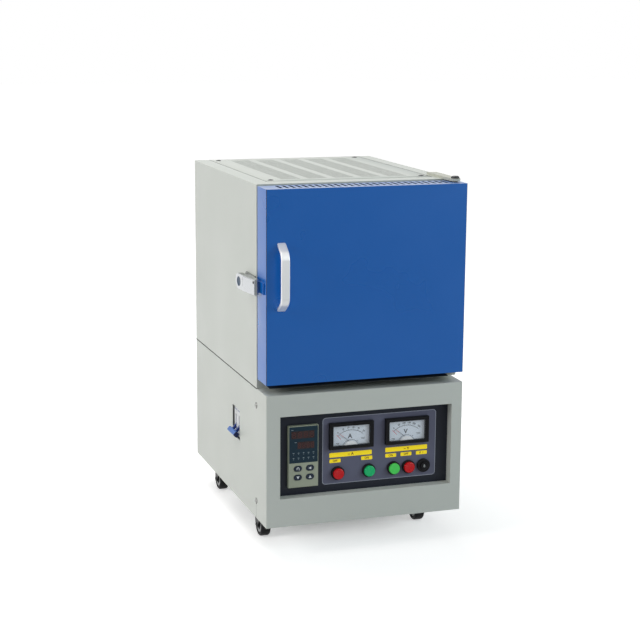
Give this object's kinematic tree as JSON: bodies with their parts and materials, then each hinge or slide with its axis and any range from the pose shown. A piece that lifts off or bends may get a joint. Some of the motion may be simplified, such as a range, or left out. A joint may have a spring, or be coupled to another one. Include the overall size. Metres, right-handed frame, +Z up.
{
  "type": "muffle furnace",
  "caption": "Bench muffle furnace with a hinged side-latched door, fibre chamber, recessed control panel with controller, meters and buttons, and a base on casters.",
  "frame": {"origin": "on the floor, under the middle of the outline", "axes": "+Z up; the door and the control panel face -Y; +X is to the right seen from the front"},
  "size_m": [0.341, 0.475, 0.5785],
  "materials": {
    "casing_paint": "satin powder coat, light warm grey",
    "door_paint": "satin powder coat, blue",
    "bare_steel": "zinc-plated sheet",
    "chrome": "bright plated",
    "handle_aluminium": "satin",
    "panel_paint": "dark printed film on sheet",
    "controller_case": "fine texture",
    "controller_key": "soft rubber keys",
    "black_plastic": "moulded",
    "dial_face": "printed scale plate",
    "clear_front": "clear",
    "needle_paint": "painted",
    "red_cap": "moulded",
    "green_cap": "moulded",
    "light_green_cap": "moulded",
    "breaker_body": "moulded",
    "breaker_bar": "moulded",
    "iron_core": "varnished laminations",
    "heat_sink": "extruded",
    "fibre_board": "vacuum-formed fibre, matte",
    "hearth_ceramic": "fired alumina",
    "element_rod": "dark glazed rod",
    "strap_aluminium": "braided",
    "couple_sheath": "alumina tube",
    "caster_black": "black",
    "wheel_black": "moulded"
  },
  "bodies": {
    "cabinet": {"base_frame": "bare_steel", "base_left_panel": "casing_paint", "base_right_panel": "casing_paint", "base_rear_panel": "casing_paint", "base_deck": "casing_paint", "front_fascia": "casing_paint", "control_panel": "panel_paint", "controller_body": "controller_case", "meter_cases": "black_plastic", "meter_dials": "dial_face", "meter_windows": "clear_front", "switch_bodies": "black_plastic", "circuit_breaker": "breaker_body", "transformer": "iron_core", "power_controller": "heat_sink", "casing_left_side": "casing_paint", "casing_right_side": "casing_paint", "casing_rear": "casing_paint", "casing_front_frame": "casing_paint", "top_cover": "casing_paint", "chamber_boards": "fibre_board", "hearth_plate": "hearth_ceramic", "heating_elements": "element_rod", "element_holders": "hearth_ceramic", "element_straps": "strap_aluminium", "thermocouple": "couple_sheath", "latch_base": "chrome", "hinge_brackets": "bare_steel", "pivot_pins": "bare_steel", "panel_screws": "chrome", "cable_gland": "black_plastic", "caster_plates": "caster_black"},
    "door": {"door_shell": "door_paint", "door_back_plate": "bare_steel", "door_insulation": "fibre_board", "door_handle": "handle_aluminium", "latch_keeper": "door_paint"},
    "latch_lever": {"latch_lever": "chrome"},
    "heat_off_button": {"heat_off_button": "red_cap"},
    "heat_on_button": {"heat_on_button": "green_cap"},
    "power_on_button": {"power_on_button": "light_green_cap"},
    "power_off_button": {"power_off_button": "red_cap"},
    "key_rotor": {"key_rotor": "black_plastic"},
    "key_set": {"key_set": "controller_key"},
    "key_shift": {"key_shift": "controller_key"},
    "key_down": {"key_down": "controller_key"},
    "key_up": {"key_up": "controller_key"},
    "breaker_toggle": {"breaker_toggle": "breaker_bar"},
    "ammeter_needle": {"ammeter_needle": "needle_paint"},
    "voltmeter_needle": {"voltmeter_needle": "needle_paint"},
    "caster_fork_front_left": {"caster_fork_front_left": "caster_black"},
    "caster_wheel_front_left": {"caster_wheel_front_left": "wheel_black"},
    "caster_fork_front_right": {"caster_fork_front_right": "caster_black"},
    "caster_wheel_front_right": {"caster_wheel_front_right": "wheel_black"},
    "caster_fork_rear_left": {"caster_fork_rear_left": "caster_black"},
    "caster_wheel_rear_left": {"caster_wheel_rear_left": "wheel_black"},
    "caster_fork_rear_right": {"caster_fork_rear_right": "caster_black"},
    "caster_wheel_rear_right": {"caster_wheel_rear_right": "wheel_black"},
    "brake_pedal_front_left": {"brake_pedal_front_left": "chrome"},
    "brake_pedal_front_right": {"brake_pedal_front_right": "chrome"}
  },
  "joints": [
    {"name": "door_hinge", "type": "hinge", "parent": "cabinet", "child": "door", "pos_m": [0.156, -0.1945, 0.4215], "axis": [0, 0, 1], "range_deg": [0, 120]},
    {"name": "latch_hinge", "type": "hinge", "parent": "cabinet", "child": "latch_lever", "pos_m": [-0.161, -0.1445, 0.41975], "axis": [0, 0, -1], "range_deg": [0, 12], "stiffness_Nm_per_rad": 0.3, "springref_deg": -5.73},
    {"name": "heat_off_press", "type": "slide", "parent": "cabinet", "child": "heat_off_button", "axis": [0, 1, 0], "range_m": [0, 0.003], "stiffness_N_per_m": 300, "springref_m": -0.002},
    {"name": "heat_on_press", "type": "slide", "parent": "cabinet", "child": "heat_on_button", "axis": [0, 1, 0], "range_m": [0, 0.003], "stiffness_N_per_m": 300, "springref_m": -0.002},
    {"name": "power_on_press", "type": "slide", "parent": "cabinet", "child": "power_on_button", "axis": [0, 1, 0], "range_m": [0, 0.003], "stiffness_N_per_m": 300, "springref_m": -0.002},
    {"name": "power_off_press", "type": "slide", "parent": "cabinet", "child": "power_off_button", "axis": [0, 1, 0], "range_m": [0, 0.003], "stiffness_N_per_m": 300, "springref_m": -0.002},
    {"name": "key_turn", "type": "hinge", "parent": "cabinet", "child": "key_rotor", "pos_m": [0.11091, -0.1985, 0.1235], "axis": [0, 1, 0], "range_deg": [0, 90]},
    {"name": "key_set_press", "type": "slide", "parent": "cabinet", "child": "key_set", "axis": [0, 1, 0], "range_m": [0, 0.0008], "stiffness_N_per_m": 600, "springref_m": -0.0005},
    {"name": "key_shift_press", "type": "slide", "parent": "cabinet", "child": "key_shift", "axis": [0, 1, 0], "range_m": [0, 0.0008], "stiffness_N_per_m": 600, "springref_m": -0.0005},
    {"name": "key_down_press", "type": "slide", "parent": "cabinet", "child": "key_down", "axis": [0, 1, 0], "range_m": [0, 0.0008], "stiffness_N_per_m": 600, "springref_m": -0.0005},
    {"name": "key_up_press", "type": "slide", "parent": "cabinet", "child": "key_up", "axis": [0, 1, 0], "range_m": [0, 0.0008], "stiffness_N_per_m": 600, "springref_m": -0.0005},
    {"name": "breaker_throw", "type": "hinge", "parent": "cabinet", "child": "breaker_toggle", "pos_m": [-0.1425, -0.0445, 0.174], "axis": [0, 1, 0], "range_deg": [0, 90]},
    {"name": "ammeter_sweep", "type": "hinge", "parent": "cabinet", "child": "ammeter_needle", "pos_m": [-0.01164, -0.2024, 0.172], "axis": [0, 1, 0], "range_deg": [0, 104], "stiffness_Nm_per_rad": 0.00005, "springref_deg": -17.19},
    {"name": "voltmeter_sweep", "type": "hinge", "parent": "cabinet", "child": "voltmeter_needle", "pos_m": [0.08056, -0.2024, 0.172], "axis": [0, 1, 0], "range_deg": [0, 104], "stiffness_Nm_per_rad": 0.00005, "springref_deg": -17.19},
    {"name": "swivel_front_left", "type": "hinge", "parent": "cabinet", "child": "caster_fork_front_left", "pos_m": [-0.1235, -0.1165, 0.042], "axis": [0, 0, 1], "continuous": true},
    {"name": "roll_front_left", "type": "hinge", "parent": "caster_fork_front_left", "child": "caster_wheel_front_left", "pos_m": [-0.1235, -0.1025, 0.019], "axis": [1, 0, 0], "continuous": true},
    {"name": "brake_front_left", "type": "hinge", "parent": "caster_fork_front_left", "child": "brake_pedal_front_left", "pos_m": [-0.1235, -0.0955, 0.0405], "axis": [-1, 0, 0], "range_deg": [0, 18]},
    {"name": "swivel_front_right", "type": "hinge", "parent": "cabinet", "child": "caster_fork_front_right", "pos_m": [0.1405, -0.1165, 0.042], "axis": [0, 0, 1], "continuous": true},
    {"name": "roll_front_right", "type": "hinge", "parent": "caster_fork_front_right", "child": "caster_wheel_front_right", "pos_m": [0.1405, -0.1025, 0.019], "axis": [1, 0, 0], "continuous": true},
    {"name": "brake_front_right", "type": "hinge", "parent": "caster_fork_front_right", "child": "brake_pedal_front_right", "pos_m": [0.1405, -0.0955, 0.0405], "axis": [-1, 0, 0], "range_deg": [0, 18]},
    {"name": "swivel_rear_left", "type": "hinge", "parent": "cabinet", "child": "caster_fork_rear_left", "pos_m": [-0.1235, 0.1375, 0.042], "axis": [0, 0, 1], "continuous": true},
    {"name": "roll_rear_left", "type": "hinge", "parent": "caster_fork_rear_left", "child": "caster_wheel_rear_left", "pos_m": [-0.1235, 0.1515, 0.019], "axis": [1, 0, 0], "continuous": true},
    {"name": "swivel_rear_right", "type": "hinge", "parent": "cabinet", "child": "caster_fork_rear_right", "pos_m": [0.1405, 0.1375, 0.042], "axis": [0, 0, 1], "continuous": true},
    {"name": "roll_rear_right", "type": "hinge", "parent": "caster_fork_rear_right", "child": "caster_wheel_rear_right", "pos_m": [0.1405, 0.1515, 0.019], "axis": [1, 0, 0], "continuous": true}
  ]
}
